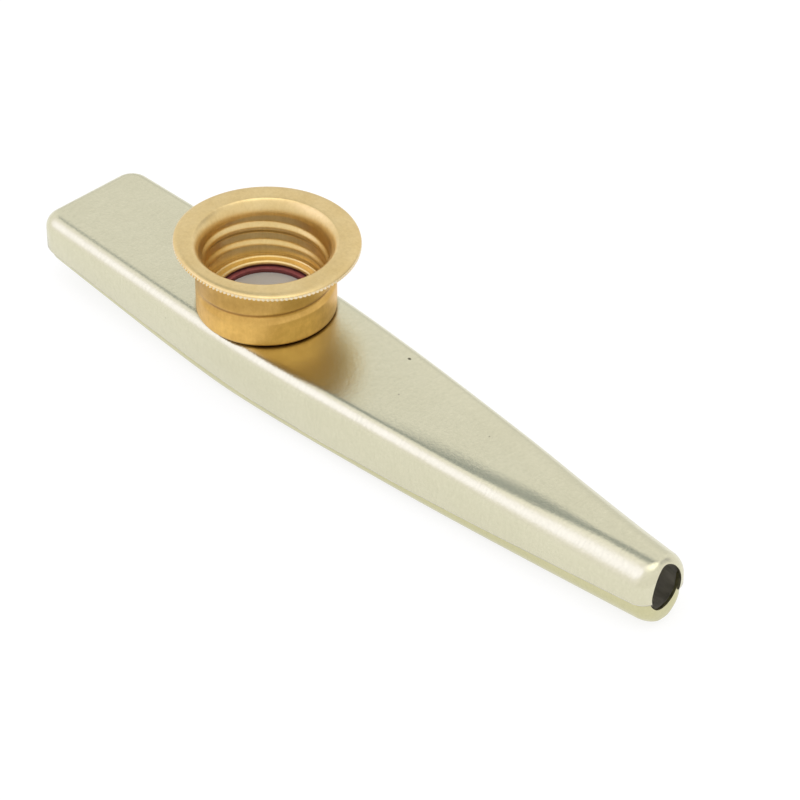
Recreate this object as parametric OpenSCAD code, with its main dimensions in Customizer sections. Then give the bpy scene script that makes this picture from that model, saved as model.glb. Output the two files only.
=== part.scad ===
// Metal kazoo: a pressed two-shell body with a gold turret that screws down on the buzzing membrane.
// X runs along the body towards the round nose, Y across it, Z up. The origin is on the rest face,
// under the middle of the body.

/* [Body plan] */
// Length of the body from the flat mouth end to the nose
body_length = 120.8; // [110:0.2:140]
// Width of the body at its widest, under the turret
body_width = 20.5; // [20:0.1:23]
// Width of the body at the mouth end
mouth_end_width = 19.1; // [17:0.1:20]
// Width of the body at the nose
nose_width = 8.8; // [8.4:0.1:12]
// Distance from the mouth end to the widest place
widest_place = 40; // [30:1:50]
// How softly the plan turns into its taper
plan_bend_share = 0.2; // [0.1:0.05:0.6]
// Radius of the upright corners at the mouth end
mouth_corner_radius = 3.4; // [2:0.1:4]
// Radius of the upright corners at the nose
nose_corner_radius = 3; // [2:0.1:3.2]

/* [Body depth] */
// Height of the flat top above the rest face
body_height = 10.8; // [10.4:0.1:13]
// How much higher the underside is at the mouth end than at the rest face
mouth_end_rise = 2.8; // [2:0.1:3.4]
// How much higher the underside is at the nose than at the rest face
nose_rise = 0.8; // [0.3:0.1:1.2]
// Distance from the mouth end to the start of the rest face
rest_start = 44; // [36:1:48]
// Length of the flat rest face
rest_length = 32; // [24:1:40]
// How softly the underside turns into its rise
underside_bend_share = 0.3; // [0.2:0.05:1]
// Depth of the upper shell's skirt at the middle of the body
skirt_depth = 8.1; // [7.5:0.1:8.4]
// How much shallower the skirt is at both ends than at the middle
skirt_rise = 2.6; // [2:0.1:3]
// How softly the skirt's edge turns into its rise
skirt_bend_share = 0.7; // [0.3:0.05:1]
// How far the lower shell's wall reaches up inside the skirt
shell_overlap = 2.4; // [1.5:0.1:3]
// Radius of the top's long edges at the mouth end
top_edge_radius = 2.2; // [1.5:0.1:2.6]
// How much the radius of the top's long edges grows towards the nose
top_edge_growth = 1.4; // [0.4:0.1:1.5]
// Radius of the top's edge over the nose, measured along the body
top_nose_radius = 2; // [1.2:0.1:2.2]
// Radius of the underside's long edges at the mouth end
bottom_edge_radius = 3.1; // [2.4:0.1:3.3]
// How much the radius of the underside's long edges grows towards the nose
bottom_edge_growth = 0.8; // [0.4:0.1:1]
// Radius of the underside's edge under the nose, measured along the body
bottom_nose_radius = 1.1; // [1:0.1:2]
// Sheet thickness of the two shells
sheet = 0.45; // [0.35:0.05:0.5]

/* [Body openings] */
// Width of the mouth slot
mouth_slot_width = 12; // [10:0.5:13]
// Height of the mouth slot
mouth_slot_height = 4.6; // [4.2:0.1:4.8]
// Width of the hole in the nose
nose_hole_width = 5.4; // [4.6:0.1:5.6]
// Height of the hole in the nose
nose_hole_height = 6.6; // [6:0.1:7]
// Depth of the middle of the nose hole under the flat top
nose_hole_depth = 4.2; // [4:0.1:4.5]

/* [Turret collar] */
// Distance from the mouth end to the turret's axis
turret_place = 40.6; // [38:0.2:44]
// Outer diameter of the collar
collar_diameter = 20.5; // [20:0.1:21.5]
// Height of the collar above the flat top
collar_height = 9.3; // [9:0.1:9.4]
// Radius of the collar's bottom edge
collar_edge_radius = 0.9; // [0.7:0.1:1]
// Sheet thickness of the collar and the cap
turret_sheet = 0.45; // [0.4:0.05:0.45]
// Diameter of the sound hole through the collar's spigot
sound_hole_diameter = 13.7; // [12.5:0.1:14]
// How far the membrane seat stands above the flat top
seat_lift = 0.4; // [0.3:0.05:0.5]
// How far the seat's step slopes
seat_slope = 0.4; // [0.3:0.05:0.5]
// Width of the flange that stays down on the flat top
foot_width = 0.5; // [0.4:0.05:0.6]
// How far the spigot's swaged lip reaches out under the top
swage_width = 0.65; // [0.4:0.05:0.8]
// Depth of the groove rolled round the collar
collar_thread_depth = 0.32; // [0.28:0.01:0.34]
// Angle of the collar thread's lower end, counted from the nose direction
collar_thread_start_angle = -124; // [-130:1:-110]
// Angle that the collar's thread turns through
collar_thread_turn_angle = 300; // [240:10:320]

/* [Turret cap] */
// Diameter over the rolled rim
rim_diameter = 27.8; // [27:0.1:29]
// Height of the rim above the flat top
rim_height = 11.5; // [11.4:0.1:12]
// Diameter of the rolled bead at the edge of the rim
rim_bead = 1; // [0.95:0.05:1.1]
// Radius of the flare where the tube opens into the rim
flare_radius = 1.6; // [1.5:0.05:1.7]
// Inner diameter of the curled lip that holds the membrane
lip_diameter = 14.4; // [14.2:0.1:14.8]
// Diameter of the curl round the lip
lip_curl = 0.8; // [0.75:0.05:0.85]
// Pitch of the rolled thread
thread_pitch = 3.15; // [3:0.05:3.3]
// Depth of the groove rolled round the cap's tube
cap_thread_depth = 0.55; // [0.5:0.01:0.56]
// Height above the flat top of the thread's middle line on the nose side
thread_height = 6.1; // [6:0.05:6.2]
// Height of the narrow neck under the cap's thread
cap_neck_height = 1.5; // [1.3:0.1:1.6]
// How far the neck lies inside the bottom of the cap's groove
neck_step = 0.1; // [0.08:0.01:0.12]
// Width of each notch of the gripping edge, round the rim
knurl_pitch = 0.68; // [0.6:0.02:1]
// Depth of the gripping edge's notches
knurl_depth = 0.12; // [0.08:0.01:0.16]

/* [Membrane] */
// Thickness of the pressed ring that carries the film
ring_thickness = 0.7; // [0.6:0.05:0.8]
// Width of the pressed ring from its bore to its edge
ring_width = 2.45; // [2.3:0.05:2.6]
// Thickness of the film
film_thickness = 0.05; // [0.04:0.01:0.1]

/* [Fits] */
// Gap between the skirt and the lower shell's wall
shell_gap = 0.02; // [0.01:0.01:0.05]
// Gap between the collar's spigot and the hole in the flat top
spigot_gap = 0.02; // [0.01:0.01:0.05]
// Radial running gap between the cap's tube and the collar
turret_gap = 0.06; // [0.04:0.01:0.09]
// Least gap between the ring and what it passes on its way out
ring_gap = 0.18; // [0.15:0.01:0.25]
// How far the collar's thread lies under the middle of the cap's groove when screwed down
thread_play = 0.2; // [0.15:0.01:0.25]

/* [Hidden] */

$fn = 96;
// Overrun of every cut past the face that it opens
cut_over = 1;
// Steps along a side, round a corner, round an edge and round the nose hole
side_steps = 30;
corner_steps = 6;
edge_steps = 7;
hole_steps = 40;
// Smallest corner that an inner layer keeps, and the most of its half width that the nose's may take
least_corner = 0.2;
corner_room_share = 0.8;

mouth_x = -body_length / 2;
nose_x = body_length / 2;
widest_x = mouth_x + widest_place;
rest_x = mouth_x + rest_start;
rest_end = rest_x + rest_length;
turret_x = mouth_x + turret_place;

// Rounding of each shell: its long edges at the mouth end, their growth and its edge at the nose
top_edges = [top_edge_radius, top_edge_growth, top_nose_radius];
bottom_edges = [bottom_edge_radius, bottom_edge_growth, bottom_nose_radius];

// Turret sizes, measured from its axis and from the flat top
collar_radius = collar_diameter / 2;
collar_bore = collar_radius - turret_sheet;
spigot_bore = sound_hole_diameter / 2;
spigot_radius = spigot_bore + turret_sheet;
seat_top = seat_lift + turret_sheet;
ring_bottom = seat_top + film_thickness;
ring_top = ring_bottom + ring_thickness;
tube_radius = collar_bore - turret_gap;
tube_bore = tube_radius - turret_sheet;
rim_underside = rim_height - turret_sheet;
bead_radius = rim_bead / 2;
bead_centre = rim_diameter / 2 - bead_radius;
curl_radius = lip_curl / 2;
collar_crest = collar_bore - collar_thread_depth;
neck_radius = tube_radius - cap_thread_depth - neck_step;
neck_bore = neck_radius - turret_sheet;
neck_top = ring_top + cap_neck_height;
ring_radius = collar_crest - ring_gap;

// Rolled thread, as shares of the pitch: half its width at the wall and at its bottom
thread_wall_share = 0.26;
thread_flank_share = 0.15;
thread_bottom_share = 0.06;
collar_wall_share = 0.16;
collar_flank_share = 0.1;
collar_bottom_share = 0.04;
// How deep a thread is where its flank turns into its rounded bottom
thread_shoulder_share = 0.6;
// How far a thread's section reaches past the wall that it is rolled in
thread_root = 0.2;
// Angle from one section of a thread to the next, and angle over which its end fades
thread_step_angle = 10;
thread_fade_angle = 40;
// Radius of a notch as a share of the distance from notch to notch
notch_share = 0.33;
// Height of a notch as a share of the upright part of the rolled edge
notch_height_share = 0.9;
cap_thread_top = collar_height - turret_sheet - thread_pitch * thread_wall_share;

// Curve from 0 to 1 that starts level and turns into a straight slope
function bend(u, k_share) =
    (sqrt(u * u + k_share * k_share) - k_share) / (sqrt(1 + k_share * k_share) - k_share);

function half_width(x) =
    let (
        towards_nose = x > widest_x,
        end_width = towards_nose ? nose_width : mouth_end_width,
        u = towards_nose ? (x - widest_x) / (nose_x - widest_x) : (widest_x - x) / widest_place
    )
    (body_width - (body_width - end_width) * bend(u, plan_bend_share)) / 2;

function underside(x) =
    x > rest_end
    ? nose_rise * bend((x - rest_end) / (nose_x - rest_end), underside_bend_share)
    : x < rest_x
    ? mouth_end_rise * bend((rest_x - x) / rest_start, underside_bend_share)
    : 0;

function skirt_edge(x) =
    body_height - skirt_depth + skirt_rise * bend(abs(x) / nose_x, skirt_bend_share);

function long_edge_radius(edges, x) = edges[0] + edges[1] * pow(max(x, 0) / nose_x, 2);

// How far a layer lies inside the outer face: wall is its own depth in the sheet, and turn_share
// runs from 1 at the flat to 0 at the upright wall, round the edge
function inset(radius, wall, turn_share) = wall + (radius - wall) * turn_share;

function layer_half_width(edges, x, wall, turn_share) =
    half_width(x) - inset(long_edge_radius(edges, x), wall, turn_share);

// One side of a layer's outline, from the mouth end to the nose, as x and y
function layer_side(edges, wall, turn_share) =
    let (
        mouth_inset = inset(edges[0], wall, turn_share),
        nose_inset = inset(edges[2], wall, turn_share),
        nose_end = nose_x - nose_inset,
        nose_room = layer_half_width(edges, nose_end, wall, turn_share) * corner_room_share,
        mouth_corner = max(mouth_corner_radius - mouth_inset, least_corner),
        nose_corner = max(min(nose_corner_radius - nose_inset, nose_room), least_corner),
        from_x = mouth_x + mouth_inset + mouth_corner,
        to_x = nose_end - nose_corner,
        from_y = layer_half_width(edges, from_x, wall, turn_share) - mouth_corner,
        to_y = layer_half_width(edges, to_x, wall, turn_share) - nose_corner
    )
    concat(
        [for (i = [0:corner_steps])
            let (a = 180 - 90 * i / corner_steps)
            [from_x + mouth_corner * cos(a), from_y + mouth_corner * sin(a)]],
        [for (i = [1:side_steps - 1])
            let (x = from_x + (to_x - from_x) * i / side_steps)
            [x, layer_half_width(edges, x, wall, turn_share)]],
        [for (i = [0:corner_steps])
            let (a = 90 - 90 * i / corner_steps)
            [to_x + nose_corner * cos(a), to_y + nose_corner * sin(a)]]
    );

side_count = side_steps + 1 + 2 * corner_steps;
loop_count = 2 * side_count;

// A closed loop of points from one side of an outline and the height of each of its points
function loop(side, heights) =
    concat(
        [for (i = [0:side_count - 1]) [side[i][0], side[i][1], heights[i]]],
        [for (i = [side_count - 1:-1:0]) [side[i][0], -side[i][1], heights[i]]]
    );

// Faces between two loops that follow each other, and across the first and the last loop
function band_faces(layers) =
    [for (k = [0:layers - 2], i = [0:loop_count - 1])
        let (
            j = (i + 1) % loop_count,
            a = k * loop_count + i,
            b = k * loop_count + j,
            c = (k + 1) * loop_count + j,
            d = (k + 1) * loop_count + i
        )
        each [[a, b, c], [a, c, d]]];

function lid_faces(first, flip) =
    [for (i = [0:side_count - 2])
        let (
            a = first + i,
            b = first + i + 1,
            c = first + loop_count - 2 - i,
            d = first + loop_count - 1 - i
        )
        each (flip ? [[a, c, b], [a, d, c]] : [[a, b, c], [a, c, d]])];

module skin(loops) {
    layers = len(loops);
    polyhedron(
        points = [for (one_loop = loops) each one_loop],
        faces = concat(
            band_faces(layers),
            lid_faces(0, true),
            lid_faces((layers - 1) * loop_count, false)
        ),
        convexity = 6
    );
}

// Rise of a layer's face round its edge, from the flat to the upright wall
function edge_rise(edges, x, wall, angle) = (long_edge_radius(edges, x) - wall) * (1 - cos(angle));

function upper_loop(wall, angle) =
    let (side = layer_side(top_edges, wall, 1 - sin(angle)))
    loop(side, [for (p = side) body_height - wall - edge_rise(top_edges, p[0], wall, angle)]);

function skirt_loop(wall) =
    let (side = layer_side(top_edges, wall, 0))
    loop(side, [for (p = side) skirt_edge(p[0])]);

function lower_loop(outer_wall, wall, angle) =
    let (side = layer_side(bottom_edges, wall, 1 - sin(angle)), depth = wall - outer_wall)
    loop(side, [for (p = side) underside(p[0]) + depth + edge_rise(bottom_edges, p[0], wall, angle)]);

function pan_edge_loop(wall) =
    let (side = layer_side(bottom_edges, wall, 0))
    loop(side, [for (p = side) skirt_edge(p[0]) + shell_overlap]);

// A cut through an end wall, with the width of its outline across the body
module end_cut() {
    rotate([90, 0, 90])
        linear_extrude(height = 2 * (bottom_edge_radius + cut_over), center = true)
            children();
}

module end_openings() {
    straight = mouth_slot_width - mouth_slot_height;
    translate([mouth_x, 0, (body_height + underside(mouth_x)) / 2])
        end_cut()
            union() {
                square([straight, mouth_slot_height], center = true);
                for (side = [-1, 1])
                    translate([side * straight / 2, 0])
                        circle(d = mouth_slot_height);
            }
    translate([nose_x, 0, body_height - nose_hole_depth])
        end_cut()
            polygon([for (i = [0:hole_steps - 1])
                let (angle = 360 * i / hole_steps)
                [nose_hole_width / 2 * cos(angle), nose_hole_height / 2 * sin(angle)]]);
}

module upper_shell() {
    color("beige")
        difference() {
            skin(concat(
                [for (i = [0:edge_steps]) upper_loop(0, 90 * i / edge_steps)],
                [skirt_loop(0), skirt_loop(sheet)],
                [for (i = [edge_steps:-1:0]) upper_loop(sheet, 90 * i / edge_steps)]
            ));
            end_openings();
            translate([turret_x, 0, body_height - sheet - cut_over])
                cylinder(r = spigot_radius + spigot_gap, h = sheet + 2 * cut_over);
        }
}

module lower_shell() {
    outer_wall = sheet + shell_gap;
    inner_wall = outer_wall + sheet;
    color("khaki")
        difference() {
            skin(concat(
                [for (i = [0:edge_steps]) lower_loop(outer_wall, inner_wall, 90 * i / edge_steps)],
                [pan_edge_loop(inner_wall), pan_edge_loop(outer_wall)],
                [for (i = [edge_steps:-1:0]) lower_loop(outer_wall, outer_wall, 90 * i / edge_steps)]
            ));
            end_openings();
        }
}

// Height of the cap's thread above the flat top, at an angle counted from the nose direction
function thread_line(angle) = thread_height + thread_pitch * angle / 360;

// A rolled ridge or groove: its section goes from root to tip and back, wide at the wall, and
// sinks away towards the wall over the fade angle at an end that fades
module rolled_thread(root, wall, tip, shares, from_angle, turn_angle, drop, fade_start, fade_end) {
    steps = ceil(turn_angle / thread_step_angle);
    section_count = 6;
    function fade(i) =
        let (turned = turn_angle * i / steps)
        min(1, (fade_start ? turned / thread_fade_angle : 1),
            (fade_end ? (turn_angle - turned) / thread_fade_angle : 1));
    flank = wall + (tip - wall) * thread_shoulder_share;
    sunk = (wall + root) / 2;
    function section(depth_share) =
        [for (p = [
            [root, -shares[0]], [flank, -shares[1]], [tip, -shares[2]],
            [tip, shares[2]], [flank, shares[1]], [root, shares[0]]
        ])
            [p[0] == root ? root : sunk + (p[0] - sunk) * depth_share, p[1] * thread_pitch]];
    points = [for (i = [0:steps])
        let (angle = from_angle + turn_angle * i / steps, z = thread_line(angle) - drop)
        for (p = section(fade(i)))
            [p[0] * cos(angle), p[0] * sin(angle), z + p[1]]];
    inward = tip < wall;
    faces = concat(
        [for (k = [0:steps - 1], i = [0:section_count - 1])
            let (
                j = (i + 1) % section_count,
                a = k * section_count + i,
                b = k * section_count + j,
                c = (k + 1) * section_count + j,
                d = (k + 1) * section_count + i
            )
            each (inward ? [[a, c, b], [a, d, c]] : [[a, b, c], [a, c, d]])],
        [[for (i = [0:section_count - 1]) inward ? i : section_count - 1 - i]],
        [[for (i = [0:section_count - 1])
            steps * section_count + (inward ? section_count - 1 - i : i)]]
    );
    polyhedron(points = points, faces = faces, convexity = 8);
}

// Half section of the collar: wall, foot, raised seat and spigot
module collar_section() {
    foot_radius = collar_radius - collar_edge_radius;
    step_radius = foot_radius - foot_width;
    inner_edge = collar_edge_radius - turret_sheet;
    translate([collar_bore, collar_edge_radius])
        square([turret_sheet, collar_height - collar_edge_radius]);
    intersection() {
        translate([foot_radius, collar_edge_radius])
            difference() {
                circle(r = collar_edge_radius);
                circle(r = inner_edge);
            }
        translate([foot_radius, 0])
            square([collar_edge_radius, collar_edge_radius]);
    }
    polygon([
        [foot_radius, 0], [step_radius, 0], [step_radius - seat_slope, seat_lift],
        [spigot_bore, seat_lift], [spigot_bore, seat_top],
        [step_radius - seat_slope, seat_top], [step_radius, turret_sheet], [foot_radius, turret_sheet]
    ]);
    translate([spigot_bore, -sheet - turret_sheet])
        square([turret_sheet, seat_top + sheet + turret_sheet]);
    translate([spigot_bore, -sheet - turret_sheet])
        square([turret_sheet + swage_width, turret_sheet]);
}

module on_turret() {
    translate([turret_x, 0, body_height])
        children();
}

module turret_collar() {
    shares = [collar_wall_share, collar_flank_share, collar_bottom_share];
    color("goldenrod")
        on_turret()
            difference() {
                union() {
                    rotate_extrude()
                        collar_section();
                    rolled_thread(
                        collar_bore + thread_root, collar_bore, collar_crest, shares,
                        collar_thread_start_angle, collar_thread_turn_angle, thread_play, true, true
                    );
                }
                rolled_thread(
                    collar_radius + thread_root, collar_radius, collar_radius - collar_thread_depth,
                    shares, collar_thread_start_angle, collar_thread_turn_angle, thread_play, true, true
                );
            }
}

// Half section of what lies inside the middle of the neck's and the tube's sheet
module core_section() {
    half_sheet = turret_sheet / 2;
    polygon([
        [0, ring_top + half_sheet], [neck_radius - half_sheet, ring_top + half_sheet],
        [neck_radius - half_sheet, neck_top], [tube_radius - half_sheet, neck_top + turret_sheet],
        [tube_radius - half_sheet, rim_underside], [0, rim_underside]
    ]);
}

// Half section of the cap: curled lip, narrow neck, tube, flare, rim and rolled edge
module cap_section() {
    lip_centre = lip_diameter / 2 + curl_radius;
    flare_centre = tube_bore + flare_radius;
    flare_bend = flare_radius - turret_sheet;
    flare_height = rim_underside - flare_bend;
    translate([lip_centre, ring_top])
        square([neck_radius - lip_centre, turret_sheet]);
    translate([lip_centre, ring_top + curl_radius])
        circle(r = curl_radius);
    translate([neck_bore, ring_top])
        square([turret_sheet, neck_top - ring_top]);
    polygon([
        [neck_bore, neck_top], [neck_radius, neck_top],
        [tube_radius, neck_top + turret_sheet], [tube_bore, neck_top + turret_sheet]
    ]);
    translate([tube_bore, neck_top + turret_sheet])
        square([turret_sheet, flare_height - neck_top - turret_sheet]);
    intersection() {
        translate([flare_centre, flare_height])
            difference() {
                circle(r = flare_radius);
                circle(r = flare_bend);
            }
        translate([tube_bore, flare_height])
            square([flare_radius, flare_radius]);
    }
    translate([flare_centre, rim_underside])
        square([bead_centre - flare_centre, turret_sheet]);
    translate([bead_centre, rim_height - bead_radius])
        circle(r = bead_radius);
    translate([bead_centre, rim_height - rim_bead])
        square([bead_radius, bead_radius]);
}

// Notches of the gripping edge, cut into the upright lower half of the rolled edge
module knurl_notches() {
    notch_count = floor(PI * rim_diameter / knurl_pitch);
    notch_radius = knurl_pitch * notch_share;
    notch_place = rim_diameter / 2 - knurl_depth + notch_radius;
    for (i = [0:notch_count - 1])
        rotate([0, 0, 360 * i / notch_count])
            translate([notch_place, 0, rim_height - rim_bead - cut_over])
                cylinder(r = notch_radius, h = bead_radius * notch_height_share + cut_over, $fn = 4);
}

module turret_cap() {
    shares = [thread_wall_share, thread_flank_share, thread_bottom_share];
    thread_start = neck_top - thread_pitch * thread_wall_share;
    start_angle = 360 * (thread_start - thread_height) / thread_pitch;
    turn_angle = 360 * (cap_thread_top - thread_start) / thread_pitch;
    color("gold")
        on_turret()
            difference() {
                union() {
                    rotate_extrude()
                        cap_section();
                    intersection() {
                        rolled_thread(
                            tube_bore + thread_root, tube_bore, tube_bore - cap_thread_depth, shares,
                            start_angle, turn_angle, 0, false, true
                        );
                        rotate_extrude()
                            core_section();
                    }
                }
                rolled_thread(
                    tube_radius + thread_root, tube_radius, tube_radius - cap_thread_depth, shares,
                    start_angle, turn_angle, 0, false, true
                );
                knurl_notches();
            }
}

module membrane_ring() {
    color("maroon")
        on_turret()
            rotate_extrude()
                translate([ring_radius - ring_width, ring_bottom])
                    square([ring_width, ring_thickness]);
}

module membrane_film() {
    color("gainsboro")
        on_turret()
            translate([0, 0, seat_top])
                cylinder(r = ring_radius, h = film_thickness);
}

upper_shell();
lower_shell();
turret_collar();
turret_cap();
membrane_ring();
membrane_film();
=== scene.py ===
"""Metal kazoo: satin two-shell body and gold screw-down turret with its membrane, on a white floor."""
import math
from collections import namedtuple

import bmesh
import bpy
import numpy as np
from mathutils import Matrix, Vector


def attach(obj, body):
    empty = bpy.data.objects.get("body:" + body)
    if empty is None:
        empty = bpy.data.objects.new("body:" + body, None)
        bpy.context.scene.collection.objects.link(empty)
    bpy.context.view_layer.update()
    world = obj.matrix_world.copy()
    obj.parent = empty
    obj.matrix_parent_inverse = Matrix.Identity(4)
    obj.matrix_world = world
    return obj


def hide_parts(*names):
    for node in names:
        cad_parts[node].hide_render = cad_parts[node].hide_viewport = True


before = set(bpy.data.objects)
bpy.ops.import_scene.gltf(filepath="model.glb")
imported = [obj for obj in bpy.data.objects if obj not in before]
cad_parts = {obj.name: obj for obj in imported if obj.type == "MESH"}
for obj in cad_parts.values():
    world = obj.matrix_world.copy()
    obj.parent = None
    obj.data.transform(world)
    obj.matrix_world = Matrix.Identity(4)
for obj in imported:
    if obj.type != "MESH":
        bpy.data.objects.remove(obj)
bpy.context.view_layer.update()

MM = 0.001

# Body, in millimetres, as the CAD has it
MOUTH_X, NOSE_X, WIDEST_X = -60.4, 60.4, -20.4
BODY_WIDTH, MOUTH_WIDTH, NOSE_WIDTH = 20.5, 19.1, 8.8
PLAN_BEND = 0.2
MOUTH_CORNER, NOSE_CORNER, LEAST_CORNER, CORNER_ROOM = 3.4, 3.0, 0.2, 0.8
TOP = 10.8
REST_X, REST_LENGTH = -16.4, 32.0
MOUTH_RISE, NOSE_RISE = 2.8, 0.8
UNDERSIDE_BEND, SKIRT_BEND = 0.3, 0.7
SKIRT_DEPTH, SKIRT_RISE, OVERLAP = 8.1, 2.6, 2.4
SHEET, SHELL_GAP = 0.45, 0.02

# Radius of the long edges at the mouth, its growth and extra softness towards the nose, and the radius of
# the nose's own edge
Edges = namedtuple("Edges", "mouth growth softness nose")
TOP_EDGES = Edges(mouth=2.2, growth=1.4, softness=1.0, nose=2.0)
BOTTOM_EDGES = Edges(mouth=3.1, growth=0.8, softness=0.0, nose=1.1)
# Where the extra softness sets in and how far it takes, and what limits a shoulder
SOFT_X, SOFT_REACH, SHOULDER_MOST, SHOULDER_ROOM = 26.0, 26.0, 4.2, 0.35

# Faint crown of the flat top towards the nose: its tilt where the edge starts, its width and its reach
CROWN_TILT, CROWN_WIDTH, CROWN_REACH = math.radians(12.5), 2.8, 40.0
# Room left in the middle, least width, width under which the tilt fades, and distance from the nose's edge
CROWN_ROOM, CROWN_LEAST, CROWN_FADE, CROWN_END = 0.3, 0.1, 1.2, 1.6

# Openings: the mouth's slot as length and height, the nose's oval as width and height, and its slant
SLOT_SIZE, SLOT_Z = (12.0, 4.6), 6.8
HOLE_SIZE, HOLE_Y, HOLE_Z, HOLE_SLANT = (5.3, 7.0), -0.3, 6.8, math.radians(17)
END_CUT, BORE_CUT, BORE_GAP = 4.1, 1.5, 0.02

# Turret, in millimetres from its axis and from the flat top
TURRET_X = -19.8
TURRET_SHEET = 0.45
PITCH, THREAD_Z = 3.15, 6.1

# Collar: outside radius and height, radii of its foot inside and outside, and of its rolled edges
COLLAR_R, COLLAR_TOP, COLLAR_EDGE, FOOT_EDGE = 10.25, 9.3, 0.9, 0.6
COLLAR_ROUND, SEAT_ROUND = 0.15, 0.1
SPIGOT_BORE, SWAGE = 6.85, 0.65
SEAT_LIFT, SEAT_SLOPE, FOOT = 0.4, 0.4, 0.5
SEAT_TOP = SEAT_LIFT + TURRET_SHEET

# Film and ring on the seat; the ring shows a little further in than its solid
FILM, RING, RING_R, RING_ROUND, RING_INWARD = 0.05, 0.7, 9.3, 0.12, 0.2
RING_TOP = SEAT_TOP + FILM + RING

# Cap: threaded tube, neck, curled lip with the slope and the fillet over it, and the flare of the mouth
TUBE_R, NECK_R, NECK_TOP = 9.74, 9.09, 3.1
NECK_FADE, NECK_CHAMFER = 0.5, 0.1
LIP_R, CURL_R = 7.3, 0.4
SLOPE_LIFT, FILLET_R, FILLET_Z = 0.02, 0.35, 0.38
FLARE_R, FLARE_Z, FLARE_POWER = 1.36, 2.2, 1.3
# Rim: its flat and rolled edge, the gripping band below it, and the way back under it
RIM_R, RIM_TOP, RIM_FLAT = 13.9, 11.5, 12.2
ROLL_R, ROLL_REACH, ROLL_DROP = 12.3, 1.5, 0.36
BAND_R, BAND_TOP, BAND_LOW = 13.82, 11.17, 10.8
TUCK_R, TUCK_Z, TUCK_REACH, TUCK_DROP = 13.6, 10.9, 0.25, 0.16
BACK_R, BACK_Z, BACK_END = 13.2, 10.92, 12.9
# The rim was cut a little short on one side: how much, its direction and reach, and where it starts
SHORT, SHORT_TURN, SHORT_REACH, SHORT_FROM = 1.1, -95.0, 80.0, 11.2
TEETH, TOOTH_DEPTH = 128, 0.17

# Rolled grooves in millimetres and degrees; lower is how far a groove lies below the thread's own place
Groove = namedtuple("Groove", "depth half lower start end fade_start fade_end")
COLLAR_GROOVE = Groove(depth=0.36, half=1.05, lower=0.75, start=-124, end=176, fade_start=40, fade_end=40)
CAP_GROOVE = Groove(depth=0.55, half=1.2, lower=0.0, start=-800, end=275, fade_start=1, fade_end=60)
# The cap's lowest turn runs out into the neck: its height, its soft edge, and where it ends
RUNOUT_Z, RUNOUT_EDGE, RUNOUT_END, RUNOUT_FADE = NECK_TOP - 0.82, 0.3, 5.3, 0.9
WALL_BLEND = 0.08

SIDE_STEPS, CORNER_STEPS, EDGE_STEPS, CROWN_STEPS = 150, 14, 14, 7
OPENING_STEPS, BORE_STEPS, FREE_EDGE_STEPS = 72, 160, 4
COLLAR_STEPS, CAP_STEPS, RING_STEPS, FILM_STEPS = 360, TEETH * 6, 192, 144
# Angles in degrees above which an edge shades sharp
PLAIN_SHARP, SHELL_SHARP, SPUN_SHARP = 40, 32, 50


def smooth(u):
    """Runs from 0 to 1 with u, softly at both ends; u is a number or an array."""
    u = np.clip(u, 0, 1)
    return u * u * (3 - 2 * u)


def bend(u, share):
    """Runs from 0 to 1 with u, curved over about the first share of it and nearly straight after that."""
    return (math.sqrt(u * u + share * share) - share) / (math.sqrt(1 + share * share) - share)


def arc(u, v, radius_u, radius_v, start, end, steps, power=1.0):
    """Points on an arc between two angles in degrees; a power over 1 draws it towards its chord."""
    points = []
    for i in range(steps + 1):
        a = math.radians(start + (end - start) * i / steps)
        c, s = math.cos(a), math.sin(a)
        points.append((u + radius_u * math.copysign(abs(c) ** power, c),
                       v + radius_v * math.copysign(abs(s) ** power, s)))
    return points


def line(u0, v0, u1, v1, steps):
    return [(u0 + (u1 - u0) * i / steps, v0 + (v1 - v0) * i / steps) for i in range(steps + 1)]


def path(*corners, steps=3):
    """Straight runs through the corners."""
    points = [corners[0]]
    for start, end in zip(corners, corners[1:]):
        points += line(*start, *end, steps)[1:]
    return points


def circle(radius, z, count):
    """Points round the turret's axis."""
    turns = [2 * math.pi * i / count for i in range(count)]
    return [(TURRET_X + radius * math.cos(a), radius * math.sin(a), z) for a in turns]


def shade(mesh, sharp):
    mesh.shade_smooth()
    mesh.set_sharp_from_angle(angle=math.radians(sharp))


def new_mesh(name, points, faces, sharp=PLAIN_SHARP):
    """An object in the scene from points in millimetres."""
    mesh = bpy.data.meshes.new(name)
    mesh.from_pydata([tuple(c * MM for c in p) for p in points], [], faces)
    mesh.validate()
    obj = bpy.data.objects.new(name, mesh)
    bpy.context.scene.collection.objects.link(obj)
    shade(mesh, sharp)
    return obj


def bands(loops, count):
    """Faces between closed loops of count points that follow each other."""
    return [
        (k * count + i, k * count + (i + 1) % count, (k + 1) * count + (i + 1) % count, (k + 1) * count + i)
        for k in range(loops - 1) for i in range(count)
    ]


def prism(name, first, last):
    """A closed solid between two outlines with as many points."""
    count = len(first)
    lids = [tuple(reversed(range(count))), tuple(range(count, 2 * count))]
    return new_mesh(name, first + last, bands(2, count) + lids)


def fix_normals(obj):
    work = bmesh.new()
    work.from_mesh(obj.data)
    bmesh.ops.recalc_face_normals(work, faces=work.faces)
    work.to_mesh(obj.data)
    work.free()


def cut(obj, cutters):
    """Cuts closed solids out of obj and keeps the result as its own mesh."""
    for one in [obj] + cutters:
        fix_normals(one)
    for one in cutters:
        mod = obj.modifiers.new("cut", "BOOLEAN")
        mod.operation, mod.solver, mod.object = "DIFFERENCE", "EXACT", one
    bpy.context.view_layer.update()
    done = bpy.data.meshes.new_from_object(obj.evaluated_get(bpy.context.evaluated_depsgraph_get()))
    obj.modifiers.clear()
    obj.data = done
    shade(done, SHELL_SHARP)
    for one in cutters:
        bpy.data.objects.remove(one)


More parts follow.
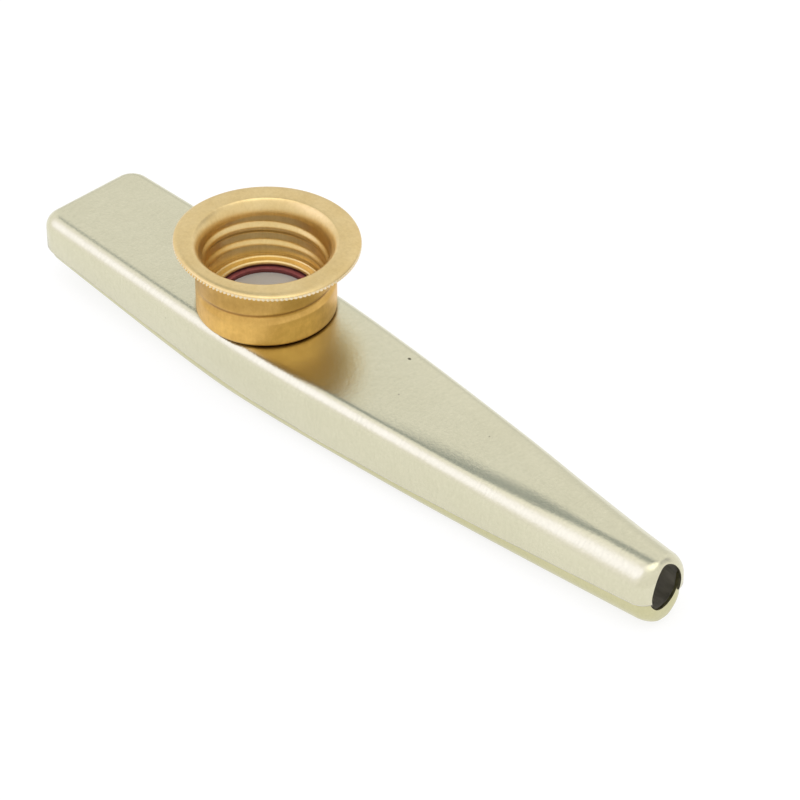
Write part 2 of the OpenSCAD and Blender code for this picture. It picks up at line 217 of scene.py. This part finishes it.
# Body
def half_width(x):
    end = NOSE_WIDTH if x > WIDEST_X else MOUTH_WIDTH
    reach = NOSE_X - WIDEST_X if x > WIDEST_X else WIDEST_X - MOUTH_X
    return (BODY_WIDTH - (BODY_WIDTH - end) * bend(abs(x - WIDEST_X) / reach, PLAN_BEND)) / 2


def underside(x):
    rest_end = REST_X + REST_LENGTH
    if x > rest_end:
        return NOSE_RISE * bend((x - rest_end) / (NOSE_X - rest_end), UNDERSIDE_BEND)
    if x < REST_X:
        return MOUTH_RISE * bend((REST_X - x) / (REST_X - MOUTH_X), UNDERSIDE_BEND)
    return 0.0


def skirt_edge(x):
    return TOP - SKIRT_DEPTH + SKIRT_RISE * bend(abs(x) / NOSE_X, SKIRT_BEND)


def shoulder(edges, x):
    """Radius of a long edge, which grows towards the nose as far as the width lets it."""
    radius = edges.mouth + edges.growth * (max(x, 0.0) / NOSE_X) ** 2
    radius += edges.softness * smooth((x - SOFT_X) / SOFT_REACH)
    return min(radius, SHOULDER_MOST, half_width(x) - SHOULDER_ROOM)


def crown_width(x):
    return min(CROWN_WIDTH, max(half_width(x) - shoulder(TOP_EDGES, x) - CROWN_ROOM, CROWN_LEAST))


def crown_tilt(x):
    """Tilt of the top where its rounded edge starts; none round the turret."""
    return CROWN_TILT * smooth(x / CROWN_REACH) * smooth(crown_width(x) / CROWN_FADE)


def crown_dip(x):
    """How far the top drops across the crown."""
    return crown_width(x) * math.tan(crown_tilt(x)) / 2


def inset(radius, wall, turn):
    return wall + (radius - wall) * turn


def layer_side(edges, wall, turn_at, crown=0.0):
    """One side of a layer's outline, from the mouth end to the nose, as x and y.

    turn_at(x) runs from 1 at the flat to 0 at the upright wall; crown is a share of the crown's width."""
    def width(x):
        return half_width(x) - inset(shoulder(edges, x), wall, turn_at(x)) - crown * crown_width(x)

    mouth_in = inset(edges.mouth, wall, turn_at(MOUTH_X))
    nose_in = inset(edges.nose, wall, turn_at(NOSE_X))
    nose_end = NOSE_X - nose_in - crown * CROWN_END
    mouth_round = max(MOUTH_CORNER - mouth_in, LEAST_CORNER)
    nose_round = max(min(NOSE_CORNER - nose_in, CORNER_ROOM * width(nose_end)), LEAST_CORNER)
    from_x, to_x = MOUTH_X + mouth_in + mouth_round, nose_end - nose_round
    side = arc(from_x, width(from_x) - mouth_round, mouth_round, mouth_round, 180, 90, CORNER_STEPS)
    for i in range(1, SIDE_STEPS):
        x = from_x + (to_x - from_x) * i / SIDE_STEPS
        side.append((x, width(x)))
    return side + arc(to_x, width(to_x) - nose_round, nose_round, nose_round, 90, 0, CORNER_STEPS)


def closed_loop(side, height):
    """Points of a whole layer from one side of it and a height at each x."""
    near = [(x, y, height(x)) for x, y in side]
    return near + [(x, -y, z) for x, y, z in reversed(near)]


def free_edge(edges, wall_from, wall_to, edge, outward):
    """Loops round the free edge of a sheet, from one wall depth to the other."""
    loops = []
    half = (wall_to - wall_from) / 2
    for i in range(FREE_EDGE_STEPS + 1):
        a = math.pi * i / FREE_EDGE_STEPS
        wall = wall_from + half * (1 - math.cos(a))
        lift = abs(half) * (math.sin(a) - 1) * outward
        loops.append(closed_loop(layer_side(edges, wall, lambda x: 0), lambda x, e=lift: edge(x) + e))
    return loops


def skin(name, loops, inner_from, inner_to):
    """A closed sheet from loops that follow each other, with a lid on the first and the last.

    The bands between inner_from and inner_to face the inside and take the second material."""
    count = len(loops[0])
    faces = bands(len(loops), count)
    inside = [inner_from <= k < inner_to for k in range(len(loops) - 1) for _ in range(count)]
    last = (len(loops) - 1) * count
    for i in range(count // 2 - 1):
        a, b, c, d = i, i + 1, count - 2 - i, count - 1 - i
        faces += [(d, c, b, a), (last + a, last + b, last + c, last + d)]
        inside += [inner_from == 0, inner_to == len(loops)]
    obj = new_mesh(name, [p for loop in loops for p in loop], faces)
    obj.data.polygons.foreach_set("material_index", [int(flag) for flag in inside])
    return obj


def end_cutter(name, outline, x):
    """A bar along X through one end of the body, with an outline of y and z."""
    return prism(name, [(x - END_CUT, y, z) for y, z in outline], [(x + END_CUT, y, z) for y, z in outline])


def end_cutters():
    """The mouth's slot with round ends, and the nose's slanted oval hole."""
    turns = [2 * math.pi * (i + 0.5) / OPENING_STEPS for i in range(OPENING_STEPS)]
    length, height = SLOT_SIZE
    slot = [
        (height / 2 * math.cos(a) + math.copysign((length - height) / 2, math.cos(a)),
         SLOT_Z + height / 2 * math.sin(a)) for a in turns
    ]
    slant_c, slant_s = math.cos(HOLE_SLANT), math.sin(HOLE_SLANT)
    oval = [(HOLE_SIZE[0] / 2 * math.cos(a), HOLE_SIZE[1] / 2 * math.sin(a)) for a in turns]
    hole = [(HOLE_Y + y * slant_c + z * slant_s, HOLE_Z - y * slant_s + z * slant_c) for y, z in oval]
    return [end_cutter("slot", slot, MOUTH_X), end_cutter("hole", hole, NOSE_X)]


def upper_shell():
    """The pressed top: crown, rounded shoulder, skirt and its free edge, and back on the inside."""
    def crown_layer(wall, share):
        """Across the crown, from share 1 on the flat to share 0 where the edge starts."""
        side = layer_side(TOP_EDGES, wall, lambda x: 1 - math.sin(crown_tilt(x)), share)
        return closed_loop(side, lambda x: TOP - wall - crown_dip(x) * (1 - share) ** 2)

    def edge_layer(wall, share):
        """Round the edge, from share 0 at the top to share 1 at the upright wall."""
        def angle(x):
            return crown_tilt(x) + (math.pi / 2 - crown_tilt(x)) * share

        def height(x):
            radius = shoulder(TOP_EDGES, x) - wall
            return TOP - wall - crown_dip(x) - radius * (math.cos(crown_tilt(x)) - math.cos(angle(x)))

        return closed_loop(layer_side(TOP_EDGES, wall, lambda x: 1 - math.sin(angle(x))), height)

    across = [1 - i / CROWN_STEPS for i in range(CROWN_STEPS)]
    down = [i / EDGE_STEPS for i in range(EDGE_STEPS + 1)]
    loops = [crown_layer(0, k) for k in across] + [edge_layer(0, k) for k in down]
    inner_from = len(loops)
    loops += free_edge(TOP_EDGES, 0, SHEET, skirt_edge, -1)
    loops += [edge_layer(SHEET, k) for k in reversed(down)]
    loops += [crown_layer(SHEET, k) for k in reversed(across)]
    obj = skin("upper_shell_sheet", loops, inner_from, len(loops))
    bore_r = SPIGOT_BORE + TURRET_SHEET + BORE_GAP
    bore = prism("bore", *(circle(bore_r, z, BORE_STEPS) for z in (TOP - BORE_CUT, TOP + BORE_CUT)))
    cut(obj, end_cutters() + [bore])
    return obj


def lower_shell():
    """The pressed pan, from its flat inside up to the free edge and back down outside."""
    outer = SHEET + SHELL_GAP
    inner = outer + SHEET

    def layer(wall, share):
        angle = math.pi / 2 * share

        def height(x):
            return underside(x) + wall - outer + (shoulder(BOTTOM_EDGES, x) - wall) * (1 - math.cos(angle))

        return closed_loop(layer_side(BOTTOM_EDGES, wall, lambda x: 1 - math.sin(angle)), height)

    up = [i / EDGE_STEPS for i in range(EDGE_STEPS + 1)]
    loops = [layer(inner, k) for k in up]
    inner_to = len(loops) + 1
    loops += free_edge(BOTTOM_EDGES, inner, outer, lambda x: skirt_edge(x) + OVERLAP, 1)
    loops += [layer(outer, k) for k in reversed(up)]
    obj = skin("lower_shell_sheet", loops, 0, inner_to)
    cut(obj, end_cutters())
    return obj


# Turret
def spun(name, stretches, count):
    """A closed section turned round the turret's axis.

    Each stretch of it is a list of (r, z) points and the rule that gives their radius at every angle."""
    turn = np.arange(count) * 2 * math.pi / count
    section = [(r, z, rule) for stretch, rule in stretches for r, z in stretch]
    radii = np.array([rule(r, z, turn) for r, z, rule in section])
    n = len(section)
    points = [
        (TURRET_X + radii[i, k] * math.cos(a), radii[i, k] * math.sin(a), TOP + section[i][1])
        for k, a in enumerate(turn) for i in range(n)
    ]
    faces = [
        (k * n + i, ((k + 1) % count) * n + i, ((k + 1) % count) * n + (i + 1) % n, k * n + (i + 1) % n)
        for k in range(count) for i in range(n)
    ]
    obj = new_mesh(name, points, faces, SPUN_SHARP)
    fix_normals(obj)
    return obj


def plain(r, z, turn):
    return np.full_like(turn, r)


def thread(groove, z, turn):
    """Depth of a rolled groove at a height and at every angle, with ends that fade."""
    total = np.zeros_like(turn)
    for k in range(-4, 4):
        angle = np.degrees(turn) + 360 * k
        off = np.abs(z + groove.lower - THREAD_Z - PITCH * angle / 360)
        depth = groove.depth * (0.5 + 0.5 * np.cos(np.pi * np.clip(off / groove.half, 0, 1)))
        depth = depth * smooth((angle - groove.start) / groove.fade_start)
        depth = depth * smooth((groove.end - angle) / groove.fade_end)
        total = np.maximum(total, depth)
    return total


def runout(z, turn):
    """Depth under the cap's lowest turn of thread, where it runs into the neck without a step."""
    total = np.zeros_like(turn)
    for k in range(-4, 4):
        centre = THREAD_Z + PITCH * (np.degrees(turn) / 360 + k)
        lowest = (centre > RUNOUT_Z) & (centre <= RUNOUT_Z + PITCH)
        depth = CAP_GROOVE.depth * smooth((centre - z) / RUNOUT_EDGE + 0.5)
        depth = depth * smooth((RUNOUT_END - centre) / RUNOUT_FADE)
        total = np.maximum(total, np.where(lowest, depth, 0))
    return total


def soft_min(a, b):
    """The smaller of two radii, blended where they meet."""
    h = np.clip(0.5 + 0.5 * (b - a) / WALL_BLEND, 0, 1)
    return b + (a - b) * h - WALL_BLEND * h * (1 - h)


def turret_collar():
    """From the outside up, over the top edge, down the bore, over the seat, round the spigot to the foot."""
    bore, foot = COLLAR_R - TURRET_SHEET, COLLAR_R - COLLAR_EDGE
    step = foot - FOOT
    seat = step - SEAT_SLOPE
    rolled = COLLAR_EDGE - TURRET_SHEET
    wall_top = COLLAR_TOP - COLLAR_ROUND
    spigot, low = SPIGOT_BORE + TURRET_SHEET, -SHEET - TURRET_SHEET
    seat_in, seat_z = SPIGOT_BORE + SEAT_ROUND, SEAT_TOP - SEAT_ROUND
    foot_r = COLLAR_R - FOOT_EDGE

    walls = line(COLLAR_R, FOOT_EDGE, COLLAR_R, wall_top, 70)
    walls += arc(COLLAR_R - COLLAR_ROUND, wall_top, COLLAR_ROUND, COLLAR_ROUND, 0, 90, 4)[1:]
    walls += arc(bore + COLLAR_ROUND, wall_top, COLLAR_ROUND, COLLAR_ROUND, 90, 180, 4)
    walls += line(bore, wall_top, bore, COLLAR_EDGE, 70)[1:]
    base = arc(foot, COLLAR_EDGE, rolled, rolled, 0, -90, 6)[1:]
    base += path((foot, TURRET_SHEET), (step, TURRET_SHEET), (seat, SEAT_TOP), (seat_in, SEAT_TOP))[1:]
    base += arc(seat_in, seat_z, SEAT_ROUND, SEAT_ROUND, 90, 180, 3)[1:]
    base += path((SPIGOT_BORE, seat_z), (SPIGOT_BORE, low), (spigot + SWAGE, low), (spigot + SWAGE, -SHEET),
                 (spigot, -SHEET), (spigot, SEAT_LIFT), (seat, SEAT_LIFT), (step, 0), (foot_r, 0))[1:]
    base += arc(foot_r, FOOT_EDGE, FOOT_EDGE, FOOT_EDGE, -90, 0, 10)[1:-1]

    def grooved(r, z, turn):
        return r - thread(COLLAR_GROOVE, z, turn)

    return spun("turret_collar_rolled", [(walls, grooved), (base, plain)], COLLAR_STEPS)


def trimmed(r, z, turn):
    """The rim isn't quite round: it was cut a little short on the near side."""
    off = (np.degrees(turn) - SHORT_TURN + 180.0) % 360.0 - 180.0
    short = SHORT * (0.5 + 0.5 * np.cos(np.pi * np.clip(off / SHORT_REACH, -1, 1)))
    return r - short * max(r - SHORT_FROM, 0) / (RIM_R - SHORT_FROM)


def toothed(r, z, turn):
    return trimmed(r, z, turn) - TOOTH_DEPTH * np.abs((turn * TEETH / (2 * math.pi)) % 1 - 0.5) * 2


def tube_outside(r, z, turn):
    """Neck, cone and tube with the rolled thread in them."""
    cone = smooth((z - NECK_TOP + NECK_FADE) / (TURRET_SHEET + 2 * NECK_FADE))
    groove = np.maximum(thread(CAP_GROOVE, z, turn), runout(z, turn))
    return soft_min(TUBE_R - groove, NECK_R + (TUBE_R - NECK_R) * cone)


def tube_inside(r, z, turn):
    return tube_outside(r, z, turn) - TURRET_SHEET


def turret_cap():
    """From the curled lip up the inside of the cup, over the rim, and down the outside of the tube."""
    bore, neck_bore = TUBE_R - TURRET_SHEET, NECK_R - TURRET_SHEET
    under, flare_from = RIM_TOP - TURRET_SHEET, RIM_TOP - FLARE_Z
    lip, flare_end, flare_under = LIP_R + CURL_R, bore + FLARE_R, FLARE_R - TURRET_SHEET
    slope_top = RING_TOP + 2 * CURL_R + SLOPE_LIFT
    fillet_r, fillet_z = neck_bore - FILLET_R, slope_top + FILLET_Z

    cup = arc(lip, RING_TOP + CURL_R, CURL_R, CURL_R, 270, 72, 20)
    cup += line(*cup[-1], fillet_r, slope_top, 4)[1:]
    cup += arc(fillet_r, fillet_z, FILLET_R, FILLET_Z, -85, 0, 8)[1:]
    inside = line(neck_bore, fillet_z, bore, flare_from, 74)[1:]
    mouth = arc(flare_end, flare_from, FLARE_R, FLARE_Z, 180, 90, 24, FLARE_POWER)[1:]
    mouth += line(flare_end, RIM_TOP, RIM_FLAT, RIM_TOP, 3)[1:]
    mouth += arc(ROLL_R, RIM_TOP - ROLL_DROP, ROLL_REACH, ROLL_DROP, 90, 12, 12)[1:]
    band = line(BAND_R, BAND_TOP, RIM_R, BAND_LOW, 4)
    back = arc(TUCK_R, TUCK_Z, TUCK_REACH, TUCK_DROP, -35, -150, 5)
    back += line(BACK_R, BACK_Z, BACK_END, under, 2)
    back += line(BACK_END, under, flare_end, under, 4)[1:]
    back += arc(flare_end, flare_from, flare_under, under - flare_from, 90, 180, 18, FLARE_POWER)[1:]
    outside = line(TUBE_R, flare_from, NECK_R, RING_TOP + NECK_CHAMFER, 82)[1:]
    foot = line(NECK_R - NECK_CHAMFER, RING_TOP, lip, RING_TOP, 4)[:-1]
    stretches = [(cup, trimmed), (inside, tube_inside), (mouth, trimmed), (band, toothed), (back, trimmed),
                 (outside, tube_outside), (foot, trimmed)]
    return spun("turret_cap_rolled", stretches, CAP_STEPS)


def membrane_ring():
    low, high, b = SEAT_TOP + FILM, RING_TOP, RING_ROUND
    bore = SPIGOT_BORE - RING_INWARD
    section = line(bore, low, RING_R - b, low, 4)
    section += arc(RING_R - b, low + b, b, b, -90, 0, 3)[1:]
    section += arc(RING_R - b, high - b, b, b, 0, 90, 3)
    section += arc(bore + b, high - b, b, b, 90, 180, 3)
    return spun("membrane_ring_pressed", [(section, plain)], RING_STEPS)


def membrane_film():
    low = TOP + SEAT_TOP
    return prism("membrane_film_disc", *(circle(RING_R, z, FILM_STEPS) for z in (low, low + FILM)))


# Materials
class Nodes:
    """Short calls for building a node tree; a value is another node's output or a plain one."""

    def __init__(self, tree):
        self.tree = tree

    def put(self, socket, value):
        if isinstance(value, bpy.types.NodeSocket):
            self.tree.links.new(value, socket)
        else:
            socket.default_value = (*value, 1) if socket.type == "RGBA" else value

    def add(self, kind, **inputs):
        """A new node; the names of its inputs have _ for a space."""
        node = self.tree.nodes.new(kind)
        for key, value in inputs.items():
            self.put(node.inputs[key.replace("_", " ")], value)
        return node

    def math(self, kind, one, two, clamp=False):
        node = self.add("ShaderNodeMath")
        node.operation, node.use_clamp = kind, clamp
        self.put(node.inputs[0], one)
        self.put(node.inputs[1], two)
        return node.outputs[0]

    def vector_math(self, kind, *vectors):
        """A number from one or two vectors."""
        node = self.add("ShaderNodeVectorMath")
        node.operation = kind
        for socket, vector in zip(node.inputs, vectors):
            self.put(socket, vector)
        return node.outputs["Value"]

    def mix(self, factor, one, two, blend="MIX"):
        node = self.add("ShaderNodeMix")
        node.data_type, node.blend_type = "RGBA", blend
        for socket, value in ((node.inputs[0], factor), (node.inputs[6], one), (node.inputs[7], two)):
            self.put(socket, value)
        return node.outputs[2]

    def multiply(self, one, two):
        return self.mix(1, one, two, "MULTIPLY")

    def between(self, value, low, high, to_low=0, to_high=1, soft=False):
        """The value taken from one range to another and held at its ends."""
        node = self.add("ShaderNodeMapRange", Value=value)
        node.interpolation_type = "SMOOTHSTEP" if soft else "LINEAR"
        for key, number in zip(("From Min", "From Max", "To Min", "To Max"), (low, high, to_low, to_high)):
            node.inputs[key].default_value = number
        return node.outputs["Result"]

    def placed(self, scale, location=(0, 0, 0)):
        """The object's own coordinates, scaled and then moved."""
        place = self.add("ShaderNodeTexCoord").outputs["Object"]
        return self.add("ShaderNodeMapping", Vector=place, Scale=scale, Location=location).outputs["Vector"]

    def upward(self, vector):
        return self.add("ShaderNodeSeparateXYZ", Vector=vector).outputs["Z"]

    def noise(self, scale, detail, roughness=0.5):
        return self.add("ShaderNodeTexNoise", Vector=self.placed(scale), Scale=1.0, Detail=detail,
                        Roughness=roughness).outputs["Fac"]

    def bump(self, height, strength, distance):
        node = self.add("ShaderNodeBump", Strength=strength, Distance=distance, Height=height)
        return node.outputs["Normal"]

    def shaded_in_corners(self, colour, reach, corner_shade):
        """Painted shade: darkens a colour in seams and corners narrower than the reach."""
        corner = self.add("ShaderNodeAmbientOcclusion", Distance=reach * MM)
        corner.samples = 6
        return self.multiply(colour, self.mix(self.between(corner.outputs["AO"], 0.35, 0.92), corner_shade, WHITE))

    def seen_directly(self):
        """Two masks: 1 for camera rays, and 1 for camera, glossy and transmission rays."""
        ray = self.add("ShaderNodeLightPath").outputs
        seen = self.math("ADD", ray["Is Camera Ray"], ray["Is Glossy Ray"], clamp=True)
        seen = self.math("ADD", seen, ray["Is Transmission Ray"], clamp=True)
        return ray["Is Camera Ray"], seen


class Surface(Nodes):
    """A material's nodes round its own shader."""

    def __init__(self, name):
        self.material = bpy.data.materials.new(name)
        self.material.use_nodes = True
        super().__init__(self.material.node_tree)

    def finish(self, **inputs):
        """Sets the shader's inputs and gives back the material."""
        for key, value in inputs.items():
            self.put(self.tree.nodes["Principled BSDF"].inputs[key.replace("_", " ")], value)
        return self.material


WHITE = (1.0, 1.0, 1.0)

# Dark pits in the plated top: place in millimetres, reach along and across the body, and darkness
PITS = (
    (3.73, 6.08, 0.34, 0.26, 0.9), (8.6, -0.7, 0.16, 0.14, 0.5), (24.1, 1.9, 0.14, 0.2, 0.4),
)
PIT_COLOUR, PIT_Z = (0.05, 0.04, 0.02), TOP - 0.1
# Colour of the specks, and colour and reach of the painted shade in the plate's seams and corners
SPECK_COLOUR, SEAM_SHADE, SEAM_REACH = (0.16, 0.14, 0.10), (0.58, 0.50, 0.37), 0.6


def pit(m, x, y, long_x, long_y, share):
    """Mask of a small soft spot on the top of the body."""
    scale = (1 / (long_x * MM), 1 / (long_y * MM), 1 / MM)
    reach = m.vector_math("LENGTH", m.placed(scale, (-x / long_x, -y / long_y, -PIT_Z)))
    return m.between(reach, 1.0, 0.6, 0, share)


def satin_plate(name, light, dark, specks_from):
    """Plated sheet with fine brushing across its length, faint cloudiness and a few dark specks."""
    m = Surface(name)
    lines = m.noise((2600, 700, 700), 5, 0.7)
    grain = m.noise((2300, 2300, 2300), 3, 0.6)
    cloud = m.noise((85, 110, 110), 5, 0.6)
    speck = m.noise((700, 520, 700), 1)
    fine = m.math("ADD", lines, grain)
    colour = m.multiply(m.mix(m.between(cloud, 0.3, 0.7), light, dark),
                        m.mix(m.between(fine, 0.7, 1.3), WHITE, (0.93, 0.93, 0.92)))
    colour = m.mix(m.between(speck, specks_from, specks_from + 0.02, 0, 0.7), colour, SPECK_COLOUR)
    for one in PITS:
        colour = m.mix(pit(m, *one), colour, PIT_COLOUR)
    # Painted shade darkens the seams and corners, such as the line under the skirt and round the collar's
    # foot.
    return m.finish(Base_Color=m.shaded_in_corners(colour, SEAM_REACH, SEAM_SHADE), Metallic=1.0,
                    Roughness=m.between(lines, 0.3, 0.7, 0.21, 0.24), Normal=m.bump(fine, 0.5, 0.00004))


def bare_inside(name):
    """The sheet's unpolished inner face."""
    m = Surface(name)
    streak = m.noise((180, 900, 900), 3)
    colour = m.mix(m.between(streak, 0.35, 0.65), (0.85, 0.82, 0.74), (0.58, 0.56, 0.49))
    return m.finish(Base_Color=colour, Metallic=0.55, Roughness=m.between(streak, 0.35, 0.65, 0.34, 0.46),
                    Normal=m.bump(streak, 0.1, 0.00003))


# Soft borders on the cap: radius and height of the gripping band, paler from wear and a painted highlight on
# its teeth, and radius of the underside that takes painted shade
GRIP_RADIUS, GRIP_HEIGHT, UNDER_SHADE_RADIUS = (12.6, 12.75), (11.21, 11.15), (12.5, 12.3)
GRIP_WEAR_GLINT_COLOUR, UNDER_SHADE_COLOUR = (0.84, 0.74, 0.56), (0.20, 0.15, 0.07)
# Heights on the turret between which its gold darkens towards the top as painted shade, and how softly the
# painted corner shade sets in
TOP_SHADE_FROM, TOP_SHADE_TO, CORNER_SHADE_FADE = 3.0, 7.0, 0.4


def worn_grip_glint_and_under_shade(m, colour):
    """Paler metal on the gripping edge, from wear by fingers and a painted highlight on its teeth, and
    painted shade on the underside of the rim.
    """
    radius = m.vector_math("LENGTH", m.placed((1, 1, 0), (-TURRET_X * MM, 0, 0)))
    height = m.upward(m.placed((1, 1, 1)))
    facing = m.upward(m.add("ShaderNodeNewGeometry").outputs["Normal"])
    # Paler gripping band: wear and a painted highlight on the teeth.
    far_out = m.between(radius, *(r * MM for r in GRIP_RADIUS), 0, 0.85)
    below_roll = m.between(height, *((TOP + z) * MM for z in GRIP_HEIGHT))
    worn_and_glinting = m.mix(m.math("MULTIPLY", far_out, below_roll), colour, GRIP_WEAR_GLINT_COLOUR)
    # Painted shade on faces that look down, under the rim.
    faces_down = m.between(facing, -0.25, -0.65, 0, 0.7)
    far_in = m.between(radius, *(r * MM for r in UNDER_SHADE_RADIUS))
    return m.mix(m.math("MULTIPLY", faces_down, far_in), worn_and_glinting, UNDER_SHADE_COLOUR)


def satin_gold(name, light, dark, rough, top_shade, corner_shade, corner_shade_reach, corner_shade_from):
    """Gold-coloured lacquered sheet with a soft tarnish, a fine turned grain and painted shade in its
    corners.

    One colour darkens it towards the top and another darkens its corners, both as painted shade; the corner
    shade stays above a given height."""
    m = Surface(name)
    grain = m.noise((3000, 3000, 1500), 3, 0.6)
    drawn = m.noise((1500, 1500, 170), 3, 0.55)
    cloud = m.noise((240, 240, 300), 5, 0.65)
    height = m.upward(m.placed((1, 1, 1)))
    fine = m.mix(m.between(m.math("ADD", grain, drawn), 0.75, 1.25), WHITE, (0.92, 0.91, 0.90))
    colour = m.multiply(m.mix(m.between(cloud, 0.32, 0.68), light, dark), fine)
    # Painted shade: the gold darkens towards the top.
    top_shade_mix = m.mix(m.between(height, (TOP + TOP_SHADE_FROM) * MM, (TOP + TOP_SHADE_TO) * MM), WHITE, top_shade)
    colour = worn_grip_glint_and_under_shade(m, m.multiply(colour, top_shade_mix))
    # Painted shade in the corners, above a given height.
    above = m.between(height, (TOP + corner_shade_from) * MM, (TOP + corner_shade_from + CORNER_SHADE_FADE) * MM)
    return m.finish(Base_Color=m.mix(above, colour, m.shaded_in_corners(colour, corner_shade_reach, corner_shade)), Metallic=1.0,
                    Roughness=m.between(grain, 0.3, 0.7, *rough), Normal=m.bump(grain, 0.09, 0.00001))


def ring_card(name):
    """Maroon fibre card with painted shade in its corners."""
    m = Surface(name)
    fibre = m.noise((1800, 1800, 700), 5, 0.65)
    card = m.mix(m.between(fibre, 0.3, 0.7), (0.36, 0.080, 0.085), (0.26, 0.056, 0.060))
    return m.finish(Base_Color=m.shaded_in_corners(card, 1.6, (0.10, 0.08, 0.07)),
                    Roughness=m.between(fibre, 0.3, 0.7, 0.42, 0.62), Normal=m.bump(fibre, 0.3, 0.00005))


def film_sheet(name):
    """Milky film with faint wrinkles."""
    m = Surface(name)
    wrinkle = m.noise((260, 420, 260), 4, 0.55)
    milk = m.noise((120, 150, 120), 3)
    return m.finish(Base_Color=m.mix(m.between(milk, 0.3, 0.7), (0.62, 0.61, 0.58), (0.52, 0.50, 0.47)),
                    Transmission_Weight=0.12, Roughness=m.between(wrinkle, 0.3, 0.7, 0.28, 0.45),
                    Normal=m.bump(wrinkle, 0.35, 0.0002))


# Light, floor and camera
SKY = (1.00, 0.99, 0.99)
# Direction, inner and outer angle, and colour of the softboxes and of the dark gap between them
SKY_PATCHES = (
    ((-0.56, -0.56, 0.60), 5, 48, (1.18, 1.15, 1.26)),
    ((-0.49, -0.61, 0.62), 5, 29, (1.49, 1.48, 1.82)),
    ((-0.52, 0.29, 0.80), 2, 14.5, (0.24, 0.29, 0.33)),
    ((0.05, 0.00, 1.00), 11, 28, (1.78, 1.76, 1.72)),
    ((-0.72, 0.69, 0.06), 8, 28, (0.78, 0.78, 0.76)),
    ((0.25, 0.74, 0.62), 6, 26, (0.62, 0.62, 0.66)),
)
FLOOR_REACH, FLOOR_GREY, FLOOR_GLOW = 3000, (0.25, 0.25, 0.25), 0.79
# The photograph's viewpoint in millimetres, fitted to its outlines
CAMERA_AT, CAMERA_AIM, CAMERA_ROLL = (327.38, -307.22, 360.31), (9.61, -1.44, 10.8), math.radians(0.125)
LENS, SENSOR, CLIP = 180.0, 36.0, (0.01, 20.0)


def sky():
    """A white room with softboxes, which the camera itself sees as plain white."""
    scene = bpy.context.scene
    scene.view_settings.view_transform = "Standard"
    scene.world = bpy.data.worlds.new("studio")
    scene.world.use_nodes = True
    n = Nodes(scene.world.node_tree)
    direction = n.add("ShaderNodeTexCoord").outputs["Generated"]
    level = SKY
    for centre, inner, outer, colour in SKY_PATCHES:
        toward = n.vector_math("DOT_PRODUCT", direction, Vector(centre).normalized())
        disc = n.between(toward, math.cos(math.radians(outer)), math.cos(math.radians(inner)), soft=True)
        level = n.mix(disc, level, colour)
    camera_ray, _ = n.seen_directly()
    background = n.tree.nodes["Background"]
    n.put(background.inputs["Color"], n.mix(camera_ray, level, WHITE))
    n.put(background.inputs["Strength"], 1.0)


def floor():
    """A grey floor that glows for the rays that see it, so that it shows white and still takes shadows."""
    corners = [(-1, -1), (1, -1), (1, 1), (-1, 1)]
    obj = new_mesh("floor", [(x * FLOOR_REACH, y * FLOOR_REACH, 0) for x, y in corners], [(0, 1, 2, 3)])
    m = Surface("white_floor")
    m.tree.nodes.clear()
    _, seen = m.seen_directly()
    glow = m.add("ShaderNodeEmission", Strength=m.math("MULTIPLY", seen, FLOOR_GLOW))
    total = m.add("ShaderNodeAddShader")
    m.put(total.inputs[0], m.add("ShaderNodeBsdfDiffuse", Color=FLOOR_GREY).outputs[0])
    m.put(total.inputs[1], glow.outputs[0])
    m.add("ShaderNodeOutputMaterial", Surface=total.outputs[0])
    obj.data.materials.append(m.material)


def camera():
    """The photograph's own viewpoint: a long lens, 44 degrees round from the nose and 38 up."""
    data = bpy.data.cameras.new("camera")
    data.lens, data.sensor_width = LENS, SENSOR
    data.clip_start, data.clip_end = CLIP
    obj = bpy.data.objects.new("camera", data)
    bpy.context.scene.collection.objects.link(obj)
    place = Vector(CAMERA_AT) * MM
    forward = (Vector(CAMERA_AIM) * MM - place).normalized()
    right = forward.cross(Vector((0, 0, 1))).normalized()
    up = right.cross(forward)
    c, s = math.cos(CAMERA_ROLL), math.sin(CAMERA_ROLL)
    right, up = right * c + up * s, up * c - right * s
    turn = Matrix((right, up, -forward)).transposed().to_4x4()
    obj.matrix_world = Matrix.Translation(place) @ turn
    bpy.context.scene.camera = obj


camera()
sky()
floor()

plate_upper = satin_plate("satin_upper", (0.72, 0.695, 0.515), (0.69, 0.665, 0.485), 0.82)
plate_lower = satin_plate("satin_lower", (0.64, 0.61, 0.37), (0.605, 0.58, 0.34), 0.84)
plate_inside = bare_inside("bare_inside")
# Both golds take painted shade towards the top and in their corners.
gold_collar = satin_gold(
    "gold_collar", light=(0.85, 0.54, 0.155), dark=(0.66, 0.40, 0.105), rough=(0.33, 0.41),
    top_shade=(0.74, 0.73, 0.74), corner_shade=(0.72, 0.6, 0.42), corner_shade_reach=1.2, corner_shade_from=-3.0,
)
gold_cap = satin_gold(
    "gold_cap", light=(0.86, 0.68, 0.345), dark=(0.79, 0.60, 0.275), rough=(0.29, 0.36),
    top_shade=(0.96, 0.95, 0.94), corner_shade=(1.0, 0.80, 0.22), corner_shade_reach=3.6, corner_shade_from=2.35,
)

# Each piece's builder, its node in the CAD, its body and its materials
PIECES = (
    (upper_shell, "upper_shell", "body", (plate_upper, plate_inside)),
    (lower_shell, "lower_shell", "body", (plate_lower, plate_inside)),
    (turret_collar, "turret_collar", "body", (gold_collar,)),
    (turret_cap, "turret_cap", "cap", (gold_cap,)),
    (membrane_ring, "membrane_ring", "membrane", (ring_card("maroon_card"),)),
    (membrane_film, "membrane_film", "membrane", (film_sheet("milky_film"),)),
)

for build, node, body, materials in PIECES:
    piece = build()
    for material in materials:
        piece.data.materials.append(material)
    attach(piece, body)
    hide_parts(node)

bpy.context.view_layer.update()
